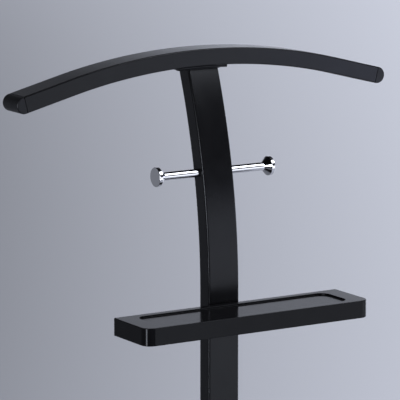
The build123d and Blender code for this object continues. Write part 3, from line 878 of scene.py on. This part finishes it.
def screw_tree():
    """Button-head screw on each point, along the point's axis."""
    tree, given = geometry_tree(
        "Button-head screw",
        ("Head radius", "Head height", "Dome share", "Socket radius", "Shank radius", "Shank length"),
    )
    size = {"Radius": given["Head radius"], "Depth": given["Head height"]}
    blank = add(
        tree,
        "GeometryNodeMeshCylinder",
        {"Vertices": HEAD_SIDES, "Fill Segments": HEAD_RINGS, **size},
        fill_type="TRIANGLE_FAN",
    )
    parts = add(tree, "ShaderNodeSeparateXYZ", {0: add(tree, "GeometryNodeInputPosition").outputs[0]})
    x, y, z = parts.outputs
    from_middle = maths(tree, "ADD", maths(tree, "MULTIPLY", x, x), maths(tree, "MULTIPLY", y, y))
    head_square = maths(tree, "MULTIPLY", given["Head radius"], given["Head radius"])
    drop = maths(tree, "MULTIPLY", maths(tree, "DIVIDE", from_middle, head_square), given["Dome share"])
    dome = maths(tree, "MULTIPLY", maths(tree, "SUBTRACT", 1.0, drop), given["Head height"])
    height = maths(tree, "MULTIPLY", maths(tree, "GREATER_THAN", z, 0.0), dome)
    domed = add(tree, "ShaderNodeCombineXYZ", {"X": x, "Y": y, "Z": height})
    head = add(tree, "GeometryNodeSetPosition", {"Geometry": blank.outputs[0], "Position": domed.outputs[0]})
    key = cylinder(tree, KEY_SIDES, given["Socket radius"], given["Head height"])
    key_set = moved_up(tree, key, given["Head height"], KEY_RAISE)
    socketed = add(
        tree,
        "GeometryNodeMeshBoolean",
        {"Mesh 1": head.outputs[0], "Mesh 2": key_set},
        operation="DIFFERENCE",
        solver="EXACT",
    )
    merging = {"Geometry": socketed.outputs[0], "Distance": SAME_POINT}
    clean = add(tree, "GeometryNodeMergeByDistance", merging)
    shank = cylinder(tree, SHANK_SIDES, given["Shank radius"], given["Shank length"])
    shank_set = moved_up(tree, shank, given["Shank length"], -0.5)
    screw = both(tree, clean.outputs[0], shank_set)
    axis = add(tree, "GeometryNodeInputNamedAttribute", {"Name": "axis"}, data_type="FLOAT_VECTOR").outputs[0]
    turn = add(tree, "FunctionNodeAlignRotationToVector", {"Vector": axis}, axis="Z")
    screws = add(
        tree,
        "GeometryNodeInstanceOnPoints",
        {"Points": given["Geometry"], "Instance": screw, "Rotation": turn.outputs[0]},
    )
    end_tree(tree, screws.outputs[0], given["Material"])
    return tree


button_screw = screw_tree()

# %% [markdown]
# ## Rows of screws
# The CAD model already knows where each screw sits, so its places aren't written a second time. A CAD
# node holds several screws as loose parts of one mesh. Walking from point to point finds the parts, and
# the box round each one gives the screw's seat.

# %% Screws
DOME_SHARE = 0.6
SMALL_SCREW = {
    "Head radius": 0.0038,
    "Head height": 0.0022,
    "Socket radius": 0.00144,
    "Shank radius": 0.0020,
}
LARGE_SCREW = {
    "Head radius": 0.00525,
    "Head height": 0.0033,
    "Socket radius": 0.00231,
    "Shank radius": 0.0030,
}


def islands(node):
    """Points of each separate solid of a CAD node."""
    builder = bmesh.new()
    builder.from_mesh(frame["nodes"][node].data)
    bmesh.ops.remove_doubles(builder, verts=builder.verts, dist=SAME_POINT)
    found, seen = [], set()
    for start in builder.verts:
        if start in seen:
            continue
        seen.add(start)
        group = [start]
        for vert in group:
            fresh = [other for edge in vert.link_edges if (other := edge.other_vert(vert)) not in seen]
            seen.update(fresh)
            group += fresh
        found.append([vert.co.copy() for vert in group])
    builder.free()
    return found


def middle_of(points):
    """Middle of the box round some points."""
    return Vector([(min(side) + max(side)) / 2 for side in zip(*points)])


def screw_row(node, name, kind, axis_at):
    """Replace a CAD node of screws by screws from the tree. The axis of each points out of its head."""
    seats, axes = [], []
    for points in islands(node):
        middle = middle_of(points)
        axis = axis_at(middle).normalized()
        reach = [point.dot(axis) for point in points]
        seats.append(middle + axis * (max(reach) - kind["Head height"] - middle.dot(axis)))
        axes.append(axis)
    seed = bpy.data.meshes.new("seats")
    seed.from_pydata(seats, [], [])
    stored = seed.attributes.new("axis", "FLOAT_VECTOR", "POINT")
    stored.data.foreach_set("vector", [part for axis in axes for part in axis])
    length = max(reach) - min(reach) - kind["Head height"]
    values = {**kind, "Dome share": DOME_SHARE, "Shank length": length, "Material": finishes["black_steel"]}
    piece_from(grow(button_screw, values, seed=seed), name, "black_steel", [node])
    print(f"{name}: {len(seats)} screws")


screw_row("hanger_screws", "saddle_screws", SMALL_SCREW, lambda at: Vector((-at.x, 0.0, bar_centre.z - at.z)))
screw_row("tray_screws", "tray_button_screws", SMALL_SCREW, lambda at: Vector((0.0, 0.0, -1.0)))
screw_row("foot_plate_screws", "foot_plate_button_screws", LARGE_SCREW, lambda at: Vector((0.0, 0.0, 1.0)))
screw_row("runner_bolts", "runner_button_bolts", LARGE_SCREW, lambda at: Vector((at.x, 0.0, 0.0)))

# %% [markdown]
# ## Ribs and threads
# A levelling foot is turned by hand, so its pad has ribs round the rim for the fingers, and its stud has
# a thread. The ribs are instances on the points of a circle. The thread is a ridge swept along a spiral
# round a plain core, which looks much like a cut thread and stays a light mesh.

# %% Trees for the feet
RIB_SIDES = 12
THREAD_TURN_STEPS = 32
RIDGE_SIDES = 8
CORE_SIDES = 48
CORE_UNDER_CREST = 1.8


def rib_tree():
    """Upright ribs round a circle."""
    tree, given = geometry_tree("Grip ribs", ("Radius", "Rib radius", "Height"), ("Count",))
    places = add(tree, "GeometryNodeMeshCircle", {"Vertices": given["Count"], "Radius": given["Radius"]})
    rib = cylinder(tree, RIB_SIDES, given["Rib radius"], given["Height"])
    row = add(tree, "GeometryNodeInstanceOnPoints", {"Points": places.outputs[0], "Instance": rib})
    end_tree(tree, row.outputs[0], given["Material"])
    return tree


def thread_tree():
    """Threaded rod from the ground up: a core and a ridge along a spiral."""
    tree, given = geometry_tree("Threaded rod", ("Radius", "Ridge radius", "Length", "Pitch"))
    turns = maths(tree, "DIVIDE", given["Length"], given["Pitch"])
    path_radius = maths(tree, "SUBTRACT", given["Radius"], given["Ridge radius"])
    spiral = add(
        tree,
        "GeometryNodeCurveSpiral",
        {
            "Resolution": THREAD_TURN_STEPS,
            "Rotations": turns,
            "Start Radius": path_radius,
            "End Radius": path_radius,
            "Height": given["Length"],
        },
    )
    section = circle(tree, RIDGE_SIDES, given["Ridge radius"])
    ridge = swept(tree, spiral.outputs[0], section, {"Fill Caps": True})
    core_radius = maths(tree, "MULTIPLY_ADD", given["Ridge radius"], -CORE_UNDER_CREST, given["Radius"])
    core = cylinder(tree, CORE_SIDES, core_radius, given["Length"])
    rod = both(tree, ridge, moved_up(tree, core, given["Length"], 0.5))
    end_tree(tree, rod, given["Material"])
    return tree


grip_ribs = rib_tree()
threaded_rod = thread_tree()

# %% [markdown]
# ## Levelling feet
# Each foot is a moulded pad on an M8 stud, screwed into a runner's cap to level the stand. The pad's body
# is spun like a peg and joined with its ribs. Every foot rides on its own body, because it moves up and
# down in the stand.

# %% Levelling feet
PAD_RIB_COUNT = 32
PAD_RIB_RADIUS = 0.0007
PAD_RIB_STANDS = 0.0004
PAD_EDGE = 0.0012
PAD_STEPS = 96
THREAD_PITCH = 0.00125
THREAD_RIDGE = 0.00038


def joined(*meshes):
    """One mesh from several."""
    builder = bmesh.new()
    for mesh in meshes:
        builder.from_mesh(mesh)
    whole = bpy.data.meshes.new("joined")
    builder.to_mesh(whole)
    builder.free()
    return whole


def middle_under(low, high):
    """Middle of the lower face of a box."""
    return Vector(((low.x + high.x) / 2, (low.y + high.y) / 2, low.z))


def pad_mesh(low, high):
    """Ribbed pad that fills a box and stands on its lower face."""
    height = high.z - low.z
    radius = (high.x - low.x) / 2 - PAD_RIB_STANDS
    under = middle_under(low, high)
    outline = [(0.0, 0.0), *arc((PAD_EDGE, radius - PAD_EDGE), PAD_EDGE, 180, 90)]
    outline += [*arc((height - PAD_EDGE, radius - PAD_EDGE), PAD_EDGE, 90, 0), (height, 0.0)]
    values = {
        "Count": PAD_RIB_COUNT,
        "Radius": radius + PAD_RIB_STANDS - PAD_RIB_RADIUS,
        "Rib radius": PAD_RIB_RADIUS,
        "Height": height - 2 * PAD_EDGE,
        "Material": finishes["pad_plastic"],
    }
    ribs = grow(grip_ribs, values, Matrix.Translation(under + Vector((0.0, 0.0, height / 2))))
    return joined(spun(outline, PAD_STEPS, Matrix.Translation(under)), ribs)


def stud_mesh(low, high, foot):
    """Threaded stud as thick and as high as a box, on the axis of its foot."""
    values = {
        "Radius": (high.x - low.x) / 2,
        "Ridge radius": THREAD_RIDGE,
        "Length": high.z - low.z,
        "Pitch": THREAD_PITCH,
        "Material": finishes["zinc_steel"],
    }
    return grow(threaded_rod, values, Matrix.Translation((foot.x, foot.y, low.z)))


for corner in ("front_left", "front_right", "rear_left", "rear_right"):
    body = f"foot_{corner}"
    pad = f"foot_pad_{corner}"
    stud = f"foot_stud_{corner}"
    piece_from(pad_mesh(*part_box(pad)), f"foot_pad_moulded_{corner}", "pad_plastic", [pad], body)
    threaded = stud_mesh(*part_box(stud), middle_under(*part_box(pad)))
    piece_from(threaded, f"foot_stud_threaded_{corner}", "zinc_steel", [stud], body)

# %% [markdown]
# ## Camera
# The picture was taken from the left of the front, about 0.4 m above the bar and a few steps away, with a
# long lens, so the stand hardly tapers. The turn, the pitch and the distance were fitted to the edges of
# the bar, the post and the tray. Two directions are kept for later, because the floor and the world
# follow the camera's turn.

# %% Camera
CAMERA_TURN = math.radians(31.898)
CAMERA_PITCH = math.radians(10.096)
CAMERA_DISTANCE = 3.3700
CAMERA_LENS = 271.189
SENSOR_WIDTH = 36.0
SIGHT_END = 200.0
AIM_HEIGHT = 0.91482
AIM_SHIFT = -0.02171

sight = Vector((
    math.sin(CAMERA_TURN) * math.cos(CAMERA_PITCH),
    math.cos(CAMERA_TURN) * math.cos(CAMERA_PITCH),
    -math.sin(CAMERA_PITCH),
))
rightward = Vector((math.cos(CAMERA_TURN), -math.sin(CAMERA_TURN), 0.0))
onward = Vector((math.sin(CAMERA_TURN), math.cos(CAMERA_TURN), 0.0))
camera_data = bpy.data.cameras.new("camera")
camera_data.lens = CAMERA_LENS
camera_data.sensor_width = SENSOR_WIDTH
camera_data.clip_end = SIGHT_END
camera = bpy.data.objects.new("camera", camera_data)
camera.location = Vector((0.0, 0.0, AIM_HEIGHT)) + AIM_SHIFT * rightward - CAMERA_DISTANCE * sight
camera.rotation_euler = (math.pi / 2 - CAMERA_PITCH, 0.0, -CAMERA_TURN)
stage_collection.objects.link(camera)
bpy.context.scene.camera = camera
bpy.context.scene.view_settings.view_transform = "Standard"
print("Camera at", [round(part, 3) for part in camera.location])

# %% [markdown]
# ## Floor
# The stand is shown on one pale sheet whose colour carries painted light: it gets paler to the right. A wall
# would stand in the way of other views, so the floor alone is made wide enough to fill the view behind the
# stand. Its tone slopes to the right and away from the camera as painted light, and painted shade darkens
# it near the stand and in front of it, which gives the chrome its dark lower edges.

# %% Floor
FLOOR_HALF = 60.0
FLOOR_TINT = Vector((0.976, 1.0, 1.115))
# Painted light and shade in the floor's colour: its tone rises to the right and away from the camera, and
# FRONT_SHADE darkens it near the stand and in front of it.
FLOOR_TONE = 0.456
TONE_RIGHTWARD = 0.413
TONE_ONWARD = 0.0163
TONE_BOTH = -0.0204
DARKEST_TONE = 0.285
SLOPE_LEFT = -1.2
SLOPE_RIGHT = 1.1
SLOPE_FAR = 12.0
FRONT_SHADE = 0.30
SHADE_FROM = -1.0
SHADE_TO = 2.6


def dot(tree, vector, axis):
    """Distance of a vector along an axis."""
    return add(tree, "ShaderNodeVectorMath", {0: vector, 1: axis}, operation="DOT_PRODUCT").outputs["Value"]


def held(tree, value, low, high):
    """A value held between two limits."""
    return remap(tree, value, low, high, low, high)


floor_mesh = bpy.data.meshes.new("floor")
corners = [(-1, -1), (1, -1), (1, 1), (-1, 1)]
floor_mesh.from_pydata([(x * FLOOR_HALF, y * FLOOR_HALF, 0.0) for x, y in corners], [], [(0, 1, 2, 3)])
floor = bpy.data.objects.new("floor", floor_mesh)
stage_collection.objects.link(floor)
floor_material, floor_tree, floor_shader = finish("pale_floor", Roughness=0.9, Specular_IOR_Level=0.0)
floor_place = add(floor_tree, "ShaderNodeTexCoord").outputs["Object"]
from_stand = dot(floor_tree, floor_place, onward)
across = held(floor_tree, dot(floor_tree, floor_place, rightward), SLOPE_LEFT, SLOPE_RIGHT)
away = held(floor_tree, from_stand, 0.0, SLOPE_FAR)
# Painted light: the floor's colour gets paler to the right and away from the camera.
slope = maths(floor_tree, "MULTIPLY_ADD", away, TONE_BOTH, TONE_RIGHTWARD)
base_tone = maths(floor_tree, "MULTIPLY_ADD", away, TONE_ONWARD, FLOOR_TONE)
painted_light_tone = maths(floor_tree, "MULTIPLY_ADD", across, slope, base_tone)
tone = maths(floor_tree, "MAXIMUM", painted_light_tone, DARKEST_TONE)
# Painted shade: the floor's colour darkens near the stand and in front of it.
shade = remap(floor_tree, from_stand, SHADE_FROM, SHADE_TO, FRONT_SHADE, 1.0)
floor_colour = add(
    floor_tree,
    "ShaderNodeVectorMath",
    {0: FLOOR_TINT, "Scale": maths(floor_tree, "MULTIPLY", tone, shade)},
    operation="SCALE",
)
floor_tree.links.new(floor_colour.outputs["Vector"], floor_shader.inputs["Base Color"])
floor_mesh.materials.append(floor_material)
print("Floor:", 2 * FLOOR_HALF, "m wide")

# %% [markdown]
# ## World
# The stand is black, so nearly all that shows on its top faces is the world above the horizon behind it.
# That world is brightest low down and to the right, and it darkens with height. One ramp over the height
# and one over the angle from the bright side are multiplied, which is easier to tune than an image of a
# studio.

# %% World
SKY_TINT = Vector((0.83, 0.87, 1.0))
SKY_LEVEL = 0.86
SKY_TURN = math.radians(25)
SKY_BY_HEIGHT = (
    (0.0, 1.10),
    (0.127, 1.12),
    (0.21, 0.83),
    (0.242, 0.60),
    (0.29, 0.49),
    (0.34, 0.41),
    (0.378, 0.17),
    (0.5, 0.07),
    (1.0, 0.05),
)
SKY_BY_SIDE = ((0.0, 0.04), (0.5, 0.08), (0.75, 0.34), (0.90, 0.60), (0.928, 0.74), (0.968, 1.16))

world = bpy.data.worlds.new("studio")
world.use_nodes = True
bpy.context.scene.world = world
sky = world.node_tree
direction = add(sky, "ShaderNodeTexCoord").outputs["Generated"]
sky_height = dot(sky, direction, (0.0, 0.0, 1.0))
glow_axis = onward * math.cos(SKY_TURN) + rightward * math.sin(SKY_TURN)
glow_side = remap(sky, dot(sky, direction, glow_axis), -1.0, 1.0)
by_height = ramp(sky, sky_height, [(place, SKY_TINT * SKY_LEVEL * tone) for place, tone in SKY_BY_HEIGHT])
by_side = ramp(sky, glow_side, [(place, (tone, tone, tone)) for place, tone in SKY_BY_SIDE])
glow = add(sky, "ShaderNodeVectorMath", {0: by_height, 1: by_side}, operation="MULTIPLY")
sky.links.new(glow.outputs["Vector"], sky.nodes["Background"].inputs["Color"])
print("World:", len(sky.nodes), "nodes")

# %% [markdown]
# ## Lamps
# A wide overhead sun lights the floor and gives soft shadows. It isn't reflected, so it adds no glare of
# its own to the coat. What shows on the upright faces comes mostly from boxes. A box high in front on the
# right lights the lean of the post, a low panel on the right the front faces, and a cooler strip a little
# higher the right end of the bar. Two strips on the left draw the bright lines along rounded edges.

# %% Lamps
SUN_TINT = (0.95, 0.97, 1.0)
SUN_POWER = 2.38
SUN_ANGLE = math.radians(40)
BOX_TINT = (0.90, 0.925, 1.0)
DAYLIGHT_TINT = (0.56, 0.60, 1.0)


def lamp(name, kind, place, aim, power, **options):
    """Lamp at a place that faces a point and isn't seen itself."""
    data = bpy.data.lights.new(name, kind)
    data.energy = power
    for option, value in options.items():
        setattr(data, option, value)
    made = bpy.data.objects.new(name, data)
    made.location = place
    made.rotation_euler = (Vector(aim) - Vector(place)).to_track_quat("-Z", "Y").to_euler()
    made.visible_camera = False
    stage_collection.objects.link(made)
    return made


def softbox(name, place, aim, width, height, radiance, tint=BOX_TINT):
    """Softbox whose power follows from its size and how bright its face is."""
    power = radiance * math.pi * width * height
    lamp(name, "AREA", place, aim, power, shape="RECTANGLE", size=width, size_y=height, color=tint)
    print(f"{name}: {power:.2f} W")


overhead = lamp(
    "overhead", "SUN", (0.0, 0.0, 4.0), (0.05, 0.1, 0.0), SUN_POWER, angle=SUN_ANGLE, color=SUN_TINT
)
overhead.visible_glossy = False
softbox("front_box", (1.15, -1.15, 2.45), (0.0, 0.0, 0.95), width=1.1, height=1.05, radiance=5.6)
softbox("low_panel", (1.38, -1.45, 0.55), (0.0, 0.0, 0.55), width=1.8, height=1.0, radiance=1.34)
strip = {"width": 1.0, "height": 0.42, "radiance": 1.45, "tint": DAYLIGHT_TINT}
softbox("right_strip", (1.70, -1.42, 0.86), (0.24, 0.0, 1.03), **strip)
softbox("left_strip", (-1.66, -1.12, 1.075), (0.0, 0.0, 1.075), width=0.95, height=0.55, radiance=11.0)
softbox("left_low_strip", (-2.0, -0.80, 0.35), (0.0, 0.0, 0.35), width=0.40, height=0.50, radiance=19.0)
